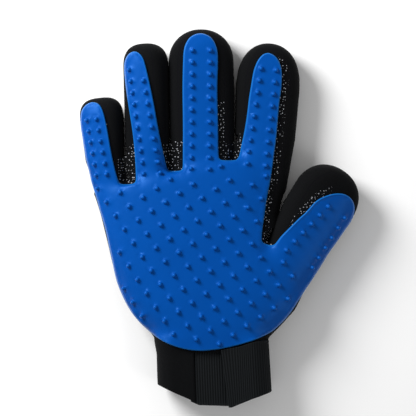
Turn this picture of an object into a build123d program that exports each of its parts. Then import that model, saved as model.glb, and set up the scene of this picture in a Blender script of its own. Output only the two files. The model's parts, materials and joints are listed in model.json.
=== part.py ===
"""Pet grooming glove for the right hand, lying on its back with the palm up.

A sewn glove of mesh, neoprene and elastic carries a moulded rubber pad with soft nubs on its palm side.
+Y runs from the wrist to the fingertips, +X points to the thumb side and +Z comes out of the palm.
The glove lies on Z = 0.
"""

import os
from collections import namedtuple
from itertools import pairwise
from math import acos, atan2, copysign, cos, hypot, pi, radians, sin

from build123d import *

os.makedirs("parts", exist_ok=True)

# Materials
SKIN = 1.5  # thickness of the mesh and neoprene panels
RUBBER = 1.8  # thickness of the moulded pad between its nubs
GAP = 0.4  # clearance between two parts of the glove that move apart
ROUND = 8.0  # rounding of the fingers' side walls
SEAM = 6.0  # from the outline to the seam between a panel and a side wall
ROOT = 30.0  # how far each finger's tube runs back into the palm
BIG = 400.0  # larger than the glove

# Nubs
NUB_BASE_R, NUB_TIP_R, NUB_ROUND, NUB_HEIGHT = 1.75, 1.1, 0.75, 2.3
NUB_SUNK = 0.7  # the nub's foot inside the pad
NUB_PITCH, NUB_ANGLE, NUB_START = 10.2, 33.2, (3.3, 9.1)  # the palm's square grid of nubs
NUB_EDGE = 2.6  # least distance from a nub to the pad's edge
NUB_SPACE = 6.6  # least distance from the palm's grid to the nubs in rows

# base: where the stall leaves the palm. tilt: leaning to the left of +Y, in degrees. mid and length: from the base to
# the middle fold and to the tip. left and right: half widths at the base. tip: half width at the tip. roll: how far
# the front leans to the left. The rubber strip has a half width and a sideways offset at the base and at its tip, and
# ends at strip_end. rows: the last nub row, the pitch and the number of rows. lanes: the sideways places of the two
# nub columns, at the base and at the last row.
Finger = namedtuple(
    "Finger",
    "name base tilt mid length left right tip thick roll strip_base strip_tip strip_end rows lanes",
)
FINGERS = [
    Finger(
        name="little", base=(-71.8, 36.6), tilt=5.5, mid=20.9, length=38.9, left=12.2, right=11.2, tip=12.4,
        thick=18.0, roll=20.0, strip_base=(9.0, 0.8), strip_tip=(8.8, 3.0), strip_end=35.6,
        rows=(25.2, 6.95, 6), lanes=((3.2, 5.2), (-3.5, -1.3)),
    ),
    Finger(
        name="ring", base=(-45.4, 45.6), tilt=2.0, mid=28.8, length=63.4, left=13.0, right=13.0, tip=13.0,
        thick=21.0, roll=16.0, strip_base=(9.8, -0.8), strip_tip=(9.2, 3.2), strip_end=58.4,
        rows=(47.1, 7.28, 10), lanes=((0.9, 5.9), (-8.4, -1.9)),
    ),
    Finger(
        name="middle", base=(-11.6, 47.8), tilt=0.0, mid=29.2, length=70.4, left=18.4, right=19.2, tip=19.3,
        thick=23.0, roll=0.0, strip_base=(11.4, 0.2), strip_tip=(11.1, 0.2), strip_end=67.4,
        rows=(56.4, 7.43, 11), lanes=((5.8, 5.2), (-5.4, -5.8)),
    ),
    Finger(
        name="index", base=(27.6, 50.9), tilt=-6.3, mid=30.2, length=58.6, left=16.6, right=19.4, tip=18.4,
        thick=22.0, roll=0.0, strip_base=(10.6, 3.4), strip_tip=(8.4, 2.6), strip_end=53.0,
        rows=(41.6, 7.5, 9), lanes=((7.6, 6.1), (-3.2, -3.2)),
    ),
    Finger(
        name="thumb", base=(42.4, -23.4), tilt=-34.0, mid=29.3, length=62.4, left=13.2, right=20.5, tip=20.0,
        thick=20.0, roll=-16.0, strip_base=(15.6, -2.6), strip_tip=(11.8, -6.2), strip_end=49.4,
        rows=(39.2, 7.42, 6), lanes=((6.1, -0.8), (-14.2, -13.6)),
    ),
]

# Cross-sections of the palm: place along Y, left side, right side, height
STATIONS = [
    (-84, -39.8, 31.4, 29.6), (-74, -42.6, 33.6, 30.8), (-62, -52.8, 44.6, 31.6), (-48, -61.2, 51.0, 31.8),
    (-32, -66.2, 46.0, 31.8), (-14, -70.4, 36.6, 31.2), (2, -74.4, 35.8, 30.2), (16, -79.0, 40.0, 28.6),
    (30, -83.4, 43.6, 26.6), (50, -87.0, 47.0, 24.4),
]
CROTCH_LINE = Plane(origin=(-29, 29.5, 0), x_dir=(0, 0, 1), z_dir=(-0.246, 0.969, 0))  # where the fingers part

# The pad's outline on the palm, without the finger strips
PAD_LEFT = [(-79.8, 22), (-74, 1.6), (-69.6, -17.4), (-65.4, -36.4), (-59.6, -51.4), (-51, -64.2), (-39.6, -75.2)]
PAD_BOTTOM = [(-26, -81.2), (-8, -83.2), (12, -79.6), (26, -74.6), (39, -65.6), (49.4, -52.4), (57, -40.6)]
PAD_TOP = [(28.2, -15.8), (26.6, -7.8), (30.5, 20), (31.5, 33.5), (11.5, 37.6), (-0.4, 37.2), (-23, 29.4)]
PAD_TOP_LEFT = [(-34, 29.4), (-53.5, 21), (-64, 21)]
PATCH_ROWS = (-BIG, -64, -48, -32, -16, -2, 12, BIG)
PATCH_COLUMNS = (-BIG, -46, -22, 2, 26, BIG)

# Cuff
CUFF_X, CUFF_WIDE, CUFF_TALL, CUFF_ROUND, CUFF_SKIN = -4.0, 70.8, 28.6, 11.0, 2.0
CUFF_TOP_Y = -84.0
CUFF_RIM = [(-39.8, -104.8), (-14, -116.0), (4.6, -116.4), (31.8, -107.6)]
HEM = 8.0  # depth of the turned-in hem
INSERT_LEFT, INSERT_RIGHT, RIB_PITCH, RIB_R = -14.0, 6.0, 2.0, 0.7

# Strap
WEB = 1.5  # thickness of the webbing
PILE = 0.5  # thickness of the hook patch and of the loop patch
PEEL = 0.4  # clearance between the hooks and the loops
PATCH = (8.0, 19.5, -87.5, -106.0)
TAB = [(1.2, -84.8), (36, -84.8), (36, -107.6), (5.2, -118.0)]
HINGE_Z = 14.0
ANCHOR_LOW_Z = 2.2


# Places on a finger
def plane_of(f, lift=0.0):
    """The finger's own plane, half way through it: X to its tip, Y to its left, Z out of its front."""
    ahead = Vector(-sin(radians(f.tilt)), cos(radians(f.tilt)), 0)
    left = Vector(0, 0, 1).cross(ahead)
    front = Vector(0, 0, 1) * cos(radians(f.roll)) + left * sin(radians(f.roll))
    return Plane(origin=(*f.base, centre_height(f)), x_dir=ahead, z_dir=front).offset(lift)


def centre_height(f):
    """The height at which the rolled finger rests on Z = 0."""
    roll = radians(abs(f.roll))
    wide = max(f.left, f.right, f.tip + abs(f.left - f.right) / 2)
    return (wide - ROUND) * sin(roll) + (f.thick / 2 - ROUND) * cos(roll) + ROUND


def blend(first, last, share):
    return first + (last - first) * share


# Blocks of material
def finger_outline(f, inset):
    """The finger's outline in its own plane, drawn in by inset, from its root to its round tip."""
    middle, half = (f.left - f.right) / 2, (f.left + f.right) / 2
    centre, radius = f.length - f.tip, f.tip - inset
    root_half = half - (f.tip - half) * ROOT / centre - inset
    root_to_tip = centre + ROOT
    lean = acos(radius / hypot(root_half, root_to_tip)) - atan2(root_to_tip, root_half)
    touch_x, touch_y = centre + radius * sin(lean), radius * cos(lean)
    with BuildSketch(plane_of(f)) as outline:
        with BuildLine():
            Line((touch_x, middle + touch_y), (-ROOT, middle + root_half))
            Line((-ROOT, middle + root_half), (-ROOT, middle - root_half))
            Line((-ROOT, middle - root_half), (touch_x, middle - touch_y))
            ThreePointArc((touch_x, middle - touch_y), (centre + radius, middle), (touch_x, middle + touch_y))
        make_face()
    return outline.sketch


def place_on(f, point):
    """A point's coordinates in the finger's own plane."""
    return plane_of(f).to_local_coords(point)


def finger_block(f, inset):
    """The solid finger, drawn in by inset and rounded all the way round."""
    outline = finger_outline(f, inset)
    with BuildPart() as block:
        add(outline)
        extrude(amount=f.thick / 2 - inset, both=True)
        rims = block.faces().filter_by(plane_of(f)).edges()
        fillet([edge for edge in rims if place_on(f, edge.center()).X > 1 - ROOT], ROUND - inset)
    return block.part


def finger_slice(f, start, stop):
    """Everything between two distances along the finger."""
    with BuildPart(plane_of(f)) as piece:
        with Locations(((start + stop) / 2, 0, 0)):
            Box(stop - start, BIG, BIG)
    return piece.part


def palm_section(station, inset):
    """One closed cross-section of the palm, flat below and domed above."""
    y, left, right, height = station
    middle, half, tall = (left + right) / 2, (right - left) / 2 - inset, height - 2 * inset
    points = []
    for step in range(20):
        across, up = cos(2 * pi * step / 20), sin(2 * pi * step / 20)
        wide = half * copysign(abs(across) ** 0.85, across)
        rise = abs(up) ** 0.85 if up >= 0 else -1.1 * abs(up) ** 0.62
        points.append((middle + wide, inset + tall / 2 * (1 + rise)))
    with BuildSketch(Plane.XZ.offset(-y)) as section:
        with BuildLine():
            Spline(*points, periodic=True)
        make_face()
    return section.sketch


def palm_block(inset):
    """The solid palm, drawn in by inset, without the fingers."""
    sections = [palm_section(station, inset).face() for station in STATIONS]
    with BuildPart() as block:
        loft(sections)
        split(bisect_by=Plane.XY.offset(inset), keep=Keep.TOP)
        split(bisect_by=CROTCH_LINE.offset(-inset), keep=Keep.BOTTOM)
    return block.part


def hand_block(inset, reach):
    """The solid palm with the roots of the fingers, which end at reach."""
    roots = [finger_block(f, inset) & finger_slice(f, -BIG, reach) for f in FINGERS]
    return palm_block(inset).fuse(*roots)


def strip_prism(f, start, stop):
    """Everything over the finger's rubber strip between two distances along it."""
    half, aside = f.strip_base
    tip_half, tip_aside = f.strip_tip
    with BuildPart() as prism:
        with BuildSketch(plane_of(f)):
            with Locations((f.strip_end - tip_half, tip_aside)):
                Circle(tip_half)
            with Locations((0, aside)):
                Rectangle(0.2, 2 * half)
            make_hull()
            with Locations((-ROOT / 2 + 3, aside)):
                Rectangle(ROOT - 6, 2 * half)
        extrude(amount=BIG)
    return prism.part & finger_slice(f, start, stop)


def nub():
    """One nub, standing on its local Z = 0 with its foot below."""
    with BuildPart() as stud:
        with Locations((0, 0, -NUB_SUNK)):
            Cone(NUB_BASE_R, NUB_TIP_R, NUB_SUNK + NUB_HEIGHT, align=(Align.CENTER, Align.CENTER, Align.MIN))
        fillet(stud.faces().sort_by(Axis.Z)[-1].edges(), NUB_ROUND)
    return stud.part


def nub_rows(f):
    """Each nub of the finger's two columns: its distance along the finger and its sideways place."""
    last, pitch, count = f.rows
    for lane_base, lane_tip in f.lanes:
        for row in range(count):
            ahead = last - pitch * row
            yield ahead, blend(lane_base, lane_tip, ahead / last)


def surface_at(solid, x, y):
    """The plane that touches the top of the solid at x, y."""
    hits = solid.find_intersection_points(Axis((x, y, 0), (0, 0, 1)))
    if not hits:
        return None
    point, normal = max(hits, key=lambda hit: hit[0].Z)
    return Plane(origin=point, z_dir=normal if normal.Z > 0 else -normal)


def save(part, name):
    part.label = name
    export_step(part, f"parts/{name}.step")


STUD = nub()

# Fingers
for f in FINGERS:
    here = plane_of(f)
    segments = {"lower": (GAP / 2, f.mid - GAP / 2), "upper": (f.mid + GAP / 2, BIG)}
    solid = finger_block(f, 0)
    tube = solid - finger_block(f, SKIN)
    coat = finger_block(f, -RUBBER) - solid
    seam_outline = finger_outline(f, SEAM)
    with BuildPart() as front_space:
        add(seam_outline)
        extrude(amount=BIG)
    with BuildPart() as back_space:
        add(seam_outline)
        extrude(amount=-BIG)
    for side, (start, stop) in segments.items():
        stretch = tube & finger_slice(f, start, stop)
        strip_body = coat & strip_prism(f, start, stop)
        spots = [spot for spot in nub_rows(f) if start < spot[0] < stop]
        studs = [here.location * Pos(*spot, f.thick / 2 + RUBBER) * STUD for spot in spots]
        nubbed_strip = strip_body.fuse(*studs)
        with BuildPart() as front_panel:
            add(stretch)
            add(front_space.part, mode=Mode.INTERSECT)
        save(front_panel.part, f"{f.name}_{side}_mesh_panel")
        with BuildPart() as back_panel:
            add(stretch)
            add(back_space.part, mode=Mode.INTERSECT)
        save(back_panel.part, f"{f.name}_{side}_back_panel")
        with BuildPart() as side_wall:
            add(stretch)
            add([front_space.part, back_space.part], mode=Mode.SUBTRACT)
        save(side_wall.part, f"{f.name}_{side}_side_wall")
        with BuildPart() as strip:
            add(nubbed_strip)
        save(strip.part, f"{f.name}_{side}_rubber_strip")


# Palm
def plan_column(points):
    """A vertical column over a closed outline."""
    with BuildPart() as column:
        with BuildSketch():
            with BuildLine():
                Polyline(*points, close=True)
            make_face()
        extrude(amount=BIG)
    return column.part


def level(low, high):
    """Everything between two heights."""
    return Pos(0, 0, (low + high) / 2) * Box(BIG, BIG, high - low)


def between_x(low, high):
    return Pos((low + high) / 2, 0, 0) * Box(high - low, BIG, BIG)


# The palm keeps clear of the moving fingers, and beside the thumb of the thumb's rubber strip too
clearances = {f.name: GAP for f in FINGERS}
clearances["thumb"] = GAP + RUBBER
moving_blocks = [finger_block(f, -clearances[f.name]) & finger_slice(f, -GAP / 2, BIG) for f in FINGERS]
palm_solid = hand_block(0, -GAP / 2).cut(*moving_blocks)
palm_shell = palm_solid - hand_block(SKIN, 1)

# Inside the seams between the palm's panels and its side walls
lefts = [(left, y) for y, left, right, height in STATIONS[:-1]]
rights = [(right, y) for y, left, right, height in STATIONS[:-1]]
root_places = []
for f in FINGERS:
    middle = plane_of(f).from_local_coords((5 - ROOT / 2, (f.left - f.right) / 2, 0))
    root_places.append((Location((middle.X, middle.Y, 0), (0, 0, f.tilt + 90)), f.left + f.right))
with BuildPart() as seam_column:
    with BuildSketch():
        with BuildLine():
            Polyline((-39.8, -100), *lefts, *reversed(rights), (31.4, -100), close=True)
        make_face()
        for place, width in root_places:
            with Locations(place):
                Rectangle(ROOT + 10, width)
        offset(amount=-SEAM)
    extrude(amount=BIG)
above, below = level(14, 60), level(-1, 14)

with BuildPart() as palm_mesh_panel:
    add(palm_shell)
    add(seam_column.part, mode=Mode.INTERSECT)
    add(above, mode=Mode.INTERSECT)
save(palm_mesh_panel.part, "palm_mesh_panel")

with BuildPart() as hand_back_panel:
    add(palm_shell)
    add(seam_column.part, mode=Mode.INTERSECT)
    add(below, mode=Mode.INTERSECT)
save(hand_back_panel.part, "hand_back_panel")

walls = (palm_shell - seam_column.part).solids()
side_walls = {
    "little_side_gusset": [wall for wall in walls if wall.center().X < -55 and wall.center().Y < 0],
    "thumb_side_gusset": [wall for wall in walls if wall.center().X > 30 and wall.center().Y < -30],
    "index_side_gusset": [wall for wall in walls if wall.center().X > 30 and wall.center().Y > 0],
    "finger_webs": [wall for wall in walls if wall.center().X < 20 and wall.center().Y > 20],
}
for name, solids in side_walls.items():
    with BuildPart() as side_panel:
        add(solids)
    save(side_panel.part, name)

# Rubber pad on the palm
pad_points = [*PAD_LEFT, *PAD_BOTTOM, *PAD_TOP, *PAD_TOP_LEFT]
pad_top = hand_block(-RUBBER, -GAP / 2)
strip_roots = [strip_prism(f, -BIG, -GAP / 2) for f in FINGERS]
pad_space = plan_column(pad_points).fuse(*strip_roots) & level(10, 60)
finger_space = [finger_block(f, -RUBBER - GAP) & finger_slice(f, -GAP / 2, BIG) for f in FINGERS]
with BuildSketch() as grid_area:
    with BuildLine():
        Polyline(*pad_points, close=True)
    make_face()
    offset(amount=-NUB_EDGE)

row_spots = []
for f in FINGERS:
    for ahead, aside in nub_rows(f):
        if ahead < 0:
            spot = plane_of(f).from_local_coords((ahead, aside, f.thick / 2))
            row_spots.append((spot.X, spot.Y))
grid_spots = []
for column in range(-12, 13):
    for row in range(-12, 13):
        step = Vector(column * NUB_PITCH, row * NUB_PITCH, 0).rotate(Axis.Z, NUB_ANGLE)
        x, y = NUB_START[0] + step.X, NUB_START[1] + step.Y
        near = min(hypot(x - spot_x, y - spot_y) for spot_x, spot_y in row_spots)
        if near > NUB_SPACE and grid_area.sketch.face().is_inside((x, y, 0)):
            grid_spots.append((x, y))
palm_studs = [surface_at(pad_top, x, y).location * STUD for x, y in row_spots + grid_spots]

# The sheet is drawn in patches that join up, because one face with every nub on it is too large
sheet = (pad_top & pad_space).cut(palm_solid, *finger_space).solids().sort_by(SortBy.VOLUME)[-1]
patches = []
for low_y, high_y in pairwise(PATCH_ROWS):
    for low_x, high_x in pairwise(PATCH_COLUMNS):
        patch = sheet & Pos((low_x + high_x) / 2, (low_y + high_y) / 2, 0) * Box(high_x - low_x, high_y - low_y, BIG)
        patches += patch.solids() if patch else []
with BuildPart() as palm_pad:
    add([*patches, *palm_studs], clean=False)
save(palm_pad.part, "palm_rubber_pad")


# Cuff
def cuff_ring(inner, outer):
    """The cuff's rounded tube between two distances outside its outer surface."""
    with BuildPart() as ring:
        with BuildSketch(Plane.XZ.offset(-CUFF_TOP_Y)):
            with Locations((CUFF_X, CUFF_TALL / 2)):
                RectangleRounded(CUFF_WIDE + 2 * outer, CUFF_TALL + 2 * outer, CUFF_ROUND + outer)
                RectangleRounded(
                    CUFF_WIDE + 2 * inner, CUFF_TALL + 2 * inner, CUFF_ROUND + inner, mode=Mode.SUBTRACT
                )
        extrude(amount=60)
    return ring.part


rim_column = plan_column([(-60, -70), (-60, CUFF_RIM[0][1]), *CUFF_RIM, (60, CUFF_RIM[-1][1]), (60, -70)])
cuff_skin = cuff_ring(-CUFF_SKIN, 0) & rim_column
thin_skin = cuff_ring(-CUFF_SKIN, -RIB_R) & rim_column
hem_ring = cuff_ring(-CUFF_SKIN - 1, -CUFF_SKIN) & rim_column
tab_column = plan_column(TAB)
patch_left, patch_right, patch_top, patch_bottom = PATCH
patch_column = plan_column(
    [(patch_left, patch_bottom), (patch_right, patch_bottom), (patch_right, patch_top), (patch_left, patch_top)]
) & level(CUFF_TALL / 2, 60)
insert_space = level(CUFF_TALL - 4, 60) & between_x(INSERT_LEFT, INSERT_RIGHT)

with BuildPart() as cuff_band:
    add(cuff_skin)
    add(insert_space, mode=Mode.SUBTRACT)
save(cuff_band.part, "cuff_band")

rib_count = round((INSERT_RIGHT - INSERT_LEFT) / RIB_PITCH)
with BuildPart() as elastic_insert:
    for number in range(rib_count):
        rib_x = INSERT_LEFT + RIB_PITCH * (number + 0.5)
        with Locations(Location((rib_x, CUFF_TOP_Y - 20, CUFF_TALL - RIB_R), (90, 0, 0))):
            Cylinder(RIB_R, 40)
    add(rim_column, mode=Mode.INTERSECT)
    add(thin_skin & insert_space)
save(elastic_insert.part, "cuff_elastic_insert")

with BuildPart() as cuff_hem:
    add(hem_ring)
    add(Pos(0, HEM, 0) * rim_column, mode=Mode.SUBTRACT)
save(cuff_hem.part, "cuff_hem")

loop_ring = cuff_ring(0, PILE)
with BuildPart() as loop_patch:
    add(loop_ring)
    add(patch_column, mode=Mode.INTERSECT)
save(loop_patch.part, "loop_patch")

# Strap
anchor_ring = cuff_ring(0, WEB) & tab_column
anchor_space = between_x(10, 60) & level(ANCHOR_LOW_Z, HINGE_Z - GAP / 2)
with BuildPart() as strap_anchor:
    add(anchor_ring)
    add(anchor_space, mode=Mode.INTERSECT)
save(strap_anchor.part, "strap_anchor")

lift = 2 * PILE + PEEL
strap_ring = cuff_ring(lift, lift + WEB) & tab_column
hook_ring = cuff_ring(lift - PILE, lift)
above_hinge = level(HINGE_Z + GAP / 2, 60)
with BuildPart() as strap_webbing:
    add(strap_ring)
    add(above_hinge, mode=Mode.INTERSECT)
save(strap_webbing.part, "strap_webbing")

with BuildPart() as hook_patch:
    add(hook_ring)
    add(patch_column, mode=Mode.INTERSECT)
save(hook_patch.part, "strap_hook_patch")
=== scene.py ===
import bpy
import bmesh
import json
import math
import numpy as np
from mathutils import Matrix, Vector
from mathutils.bvhtree import BVHTree
from mathutils.geometry import delaunay_2d_cdt


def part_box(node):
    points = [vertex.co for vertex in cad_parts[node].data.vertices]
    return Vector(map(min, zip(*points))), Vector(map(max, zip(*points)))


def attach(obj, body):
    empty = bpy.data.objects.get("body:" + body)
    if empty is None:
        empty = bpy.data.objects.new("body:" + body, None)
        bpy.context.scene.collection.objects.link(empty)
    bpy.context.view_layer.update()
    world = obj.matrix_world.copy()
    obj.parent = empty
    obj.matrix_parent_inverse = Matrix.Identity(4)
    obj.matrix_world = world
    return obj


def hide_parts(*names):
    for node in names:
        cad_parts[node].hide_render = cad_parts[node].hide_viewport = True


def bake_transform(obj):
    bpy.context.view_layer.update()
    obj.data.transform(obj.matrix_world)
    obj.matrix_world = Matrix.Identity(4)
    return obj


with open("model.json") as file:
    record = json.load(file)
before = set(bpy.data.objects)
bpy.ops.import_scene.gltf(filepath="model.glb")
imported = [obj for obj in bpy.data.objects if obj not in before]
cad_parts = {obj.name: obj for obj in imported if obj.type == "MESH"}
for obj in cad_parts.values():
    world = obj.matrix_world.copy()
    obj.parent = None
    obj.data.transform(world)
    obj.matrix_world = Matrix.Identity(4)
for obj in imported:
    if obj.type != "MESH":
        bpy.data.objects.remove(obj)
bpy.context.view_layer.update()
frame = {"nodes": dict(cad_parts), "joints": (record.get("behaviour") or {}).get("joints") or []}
MM = 0.001
# Lengths are in millimetres until make_mesh turns them into metres
SEAM = 6.0  # from the outline to the seam
RUBBER = 1.8
NET_WIDTH = 4.4  # open net left showing beside the rubber
NUB_PITCH, NUB_ANGLE, NUB_START = 10.2, 33.2, (3.3, 9.1)
NUB_CLEAR_OF_ROWS = 6.3
NUB_CLEAR_OF_EDGE = 2.95
TIP = 12  # length over which a finger's thickness rounds off
TUBE_SIDES = 96
ROOT_SIDES = 64
TUBE_STEP = 1.3
# Each finger: half thickness, roll in degrees, exponent of the tip's plan, where the plan starts to
# round off, length, then stations of (distance from the knuckle, left and right width of the cloth)
SHAPES = {
    "little": (10.4, 20, 3.0, 24, 38.9, [
        (-34, 4.5, 12), (-18, 7.2, 12), (-6, 10.6, 12), (0, 12.2, 11.7), (26, 13.5, 14.0), (60, 13.5, 14.0),
    ]),
    "ring": (11.6, 16, 2.6, 48, 63.9, [
        (-34, 13, 13), (0, 13.6, 13.8), (48, 13.2, 14.9), (80, 13.2, 14.9),
    ]),
    "middle": (12.2, 0, 2.1, 50, 70.6, [
        (-34, 18, 19), (0, 19.4, 20.9), (31, 20.2, 21.1), (48, 20.4, 20.5), (80, 20.4, 20.5),
    ]),
    "index": (11.6, 0, 2.1, 37, 58.8, [
        (-34, 15, 18), (0, 18.0, 20.2), (31, 20.8, 19.6), (46, 20.2, 18.0), (80, 20.6, 17.0),
    ]),
    "thumb": (11.6, -16, 2.1, 42, 63.6, [
        (-34, 8, 18), (0, 15, 21.2), (13, 18, 21.4), (27, 20.5, 21.5), (45, 21.5, 21.5), (80, 21.5, 21.5),
    ]),
}
# Stations of the palm: Y, left edge, right edge, height
PALM = [
    (-84, -39.6, 29.4, 29.6), (-76, -40.6, 30.6, 30.6), (-68, -46.6, 38.6, 31.2), (-58, -55.8, 47.6, 31.6),
    (-48, -61.4, 52.6, 31.8), (-32, -66.6, 50.0, 31.8), (-14, -70.8, 38.6, 31.2), (2, -74.8, 37.4, 30.2),
    (16, -79.2, 40.6, 28.6), (30, -83.4, 43.6, 26.6), (40, -85.0, 45.0, 25.0),
]
PALM_SIDES = 96
CROTCH_SLOPE = 0.246  # of the palm's top end, between the fingers' roots
# The rubber pad's outline in the glove's plan, anticlockwise from the little finger's side
PAD = [
    # the little finger's side of the palm and its lower edge
    (-79.2, 18.4), (-76.8, 10.9), (-74.9, 3.4), (-72.4, -4), (-70.5, -11.6), (-69.2, -19),
    (-67.4, -26.6), (-66.1, -34), (-64.2, -41.6), (-61.1, -49), (-57.2, -56.8), (-51.6, -64.2),
    (-44.2, -71.6), (-38.4, -75.5), (-31.6, -79), (-21.6, -82.2), (-13, -83.1), (-6, -82.7),
    (4, -81.2), (13.4, -79), (24.7, -75.3), (32.8, -71.6), (37.2, -67.8),
    # the thumb: outer edge, tip and inner edge
    (40.9, -64), (44, -60.3), (46.6, -56.6), (49, -52.8), (51.6, -49), (54, -45.3), (56.6, -41.6),
    (59, -37.8), (61.6, -34), (64, -30.3), (68.4, -22.8), (74, -15.3), (79, -7.8), (82.4, -3.5),
    (84.6, 1.5), (84.9, 6.5), (83.2, 11.2), (79.2, 14.4), (74, 15.2), (68, 14.2), (60.3, 10.9),
    (54.1, 3.4), (49.7, -0.3), (45.9, -4.1), (42.2, -7.8), (37.8, -12.2),
    # between the thumb and the index finger
    (35.4, -15.8), (33.8, -17.2), (31.8, -17.4), (28.2, -16.4), (26.6, -15.2), (26.2, -13),
    # the index finger
    (26.6, -7.8), (27.8, 0), (28.8, 7.2), (30, 14.7), (31.6, 22), (32.8, 29.7), (34, 39),
    (35.3, 48.4), (36, 56), (36.6, 63.4), (37.2, 71), (38.4, 78.4), (39, 86), (38.9, 93),
    (36.6, 99.5), (31.5, 103.2), (27.3, 102.3), (24, 98.6), (21.8, 93.4), (20.9, 89.7),
    (19.7, 82.2), (18.4, 74.7), (17.2, 63.4), (15.3, 52.2), (13.6, 44.7), (12.4, 38.6),
    # between the index and middle fingers
    (11.2, 36.6), (9.4, 35.8), (1.8, 35.7), (0, 36.5), (-0.7, 38.8),
    # the middle finger
    (-0.9, 46), (-0.9, 60), (-1.6, 80), (-0.8, 98), (-1.4, 106), (-4.6, 112.4), (-9.6, 115.2),
    (-14.4, 115.2), (-19.4, 112.2), (-22.3, 106), (-22.8, 98), (-23.2, 80), (-22.8, 60),
    (-22.9, 40), (-22.9, 31.5),
    # between the middle and ring fingers
    (-23.4, 29.8), (-25, 29.1), (-30.6, 29.1), (-32.4, 29.8), (-33.3, 31.8),
    # the ring finger
    (-35.3, 40.9), (-38.4, 55.9), (-40.9, 70.9), (-44.1, 85.9), (-46.2, 95), (-48.2, 101),
    (-52.4, 104.3), (-56.6, 103), (-59.6, 98.6), (-60, 92), (-58.4, 78.4), (-56.6, 67.2),
    (-54.7, 55.9), (-53.4, 44.7), (-52.6, 33.4), (-52.2, 24),
    # between the ring and little fingers
    (-52.6, 22), (-54.2, 20.9), (-60.6, 20.7), (-62.4, 21.3), (-63.4, 23),
    # the little finger
    (-65.2, 29), (-67.8, 40.9), (-70.3, 55.9), (-72.4, 65.4), (-75, 71), (-79.4, 72.6), (-83.8, 71),
    (-87, 66.8), (-87.6, 61), (-87.2, 55.9), (-85.3, 44.7), (-84.1, 37.2), (-82.2, 29.7),
    (-80.5, 22.2),
]
# The nub rows of each finger: last row, pitch, count, then the sideways places of the two columns
# at the base and at the last row
ROWS = {
    "little": (25.2, 6.95, 6, ((6.6, 8.5), (0.4, 2.5))),
    "ring": (47.1, 7.28, 10, ((4.2, 9.1), (-4.9, 1.6))),
    "middle": (56.4, 7.43, 11, ((5.8, 5.2), (-5.4, -5.8))),
    "index": (41.6, 7.5, 9, ((7.6, 6.1), (-3.2, -3.2))),
    "thumb": (39.2, 7.42, 6, ((2.6, -4.0), (-17.0, -16.4))),
}
# How far along each finger the net shows on the left and on the right of the rubber
NET_REACH = {"little": (0, 22), "ring": (2, 8), "middle": (2, 26), "index": (6, 50), "thumb": (60, -5)}


# Fingers: places and bend lines come from the record's joints
class Finger:
    """One finger's cloth: a rounded tube whose sections come from its stations."""

    def __init__(self, name):
        joints = {joint["name"]: joint for joint in frame["joints"]}
        knuckle, middle = joints[name + "_knuckle_bend"], joints[name + "_mid_bend"]
        self.name = name
        self.base = np.array(knuckle["pos_m"][:2]) / MM
        self.left = np.array([-knuckle["axis"][0], -knuckle["axis"][1]])
        self.ahead = np.array([-knuckle["axis"][1], knuckle["axis"][0]])
        self.mid = float(np.linalg.norm(np.array(middle["pos_m"][:2]) / MM - self.base))
        self.half, roll, self.power, self.round_from, self.length, self.widths = SHAPES[name]
        self.roll = math.radians(roll)
        widest = max(left for _, left, _ in self.widths)
        self.height = (widest - 8) * math.sin(abs(self.roll)) + (self.half - 8) * math.cos(self.roll) + 8

    def local(self, x, y):
        """Distance along the finger and to its left, of points in the glove's plan."""
        dx, dy = x - self.base[0], y - self.base[1]
        return dx * self.ahead[0] + dy * self.ahead[1], dx * self.left[0] + dy * self.left[1]

    def plan(self, along, aside):
        """The point of the glove's plan at a distance along the finger and to its left."""
        return self.base + self.ahead * along + self.left * aside

    def section(self, along):
        """Half width, sideways centre and half thickness."""
        places = [place for place, _, _ in self.widths]
        left = float(np.interp(along, places, [width for _, width, _ in self.widths]))
        right = float(np.interp(along, places, [width for _, _, width in self.widths]))
        share = min(1.0, max(0.0, (along - self.round_from) / (self.length - self.round_from)))
        thin_from = self.length - TIP
        thin = min(1.0, max(0.0, (along - thin_from) / (self.length - thin_from)))
        wide = (1 - share ** self.power) ** (1 / self.power)
        thick = (1 - thin ** 2.6) ** (1 / 2.4)
        return (left + right) / 2 * wide, (left - right) / 2, self.half * thick

    def surface(self, along, angle):
        """A point on the cloth and its sideways place within the section."""
        half, centre, thick = self.section(along)
        across = math.copysign(abs(math.cos(angle)) ** (2 / 2.7), math.cos(angle)) * half
        up = math.copysign(abs(math.sin(angle)) ** (2 / 2.5), math.sin(angle)) * thick
        aside = centre + across * math.cos(self.roll) + up * math.sin(self.roll)
        z = self.height + up * math.cos(self.roll) - across * math.sin(self.roll)
        x, y = self.plan(along, aside)
        return (x, y, z), half - abs(across)


FINGERS = [Finger(name) for name in ("little", "ring", "middle", "index", "thumb")]


def make_mesh(name, points, faces, numbers=None):
    """A mesh object from points in millimetres, with named numbers on its points."""
    mesh = bpy.data.meshes.new(name)
    mesh.from_pydata([tuple(c * MM for c in p) for p in points], [], faces)
    for key, values in (numbers or {}).items():
        layer = mesh.attributes.new(key, "FLOAT", "POINT")
        layer.data.foreach_set("value", np.asarray(values, dtype=np.float32))
    obj = bpy.data.objects.new(name, mesh)
    bpy.context.scene.collection.objects.link(obj)
    mesh.shade_smooth()
    return obj


def tube(f, stations, count):
    """Rings of points round the finger at each station."""
    rings = []
    for along in stations:
        rings.append([f.surface(along, 2 * math.pi * step / count) for step in range(count)])
    return rings


def bridge(first, second, count):
    """Faces between two rings of points, given each ring's first number."""
    faces = []
    for k in range(count):
        following = (k + 1) % count
        faces.append((first + k, first + following, second + following, second + k))
    return faces


def face_outwards(obj):
    """Turns the faces of a mesh object to point outwards."""
    bm = bmesh.new()
    bm.from_mesh(obj.data)
    bmesh.ops.recalc_face_normals(bm, faces=bm.faces[:])
    bm.to_mesh(obj.data)
    bm.free()


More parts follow.
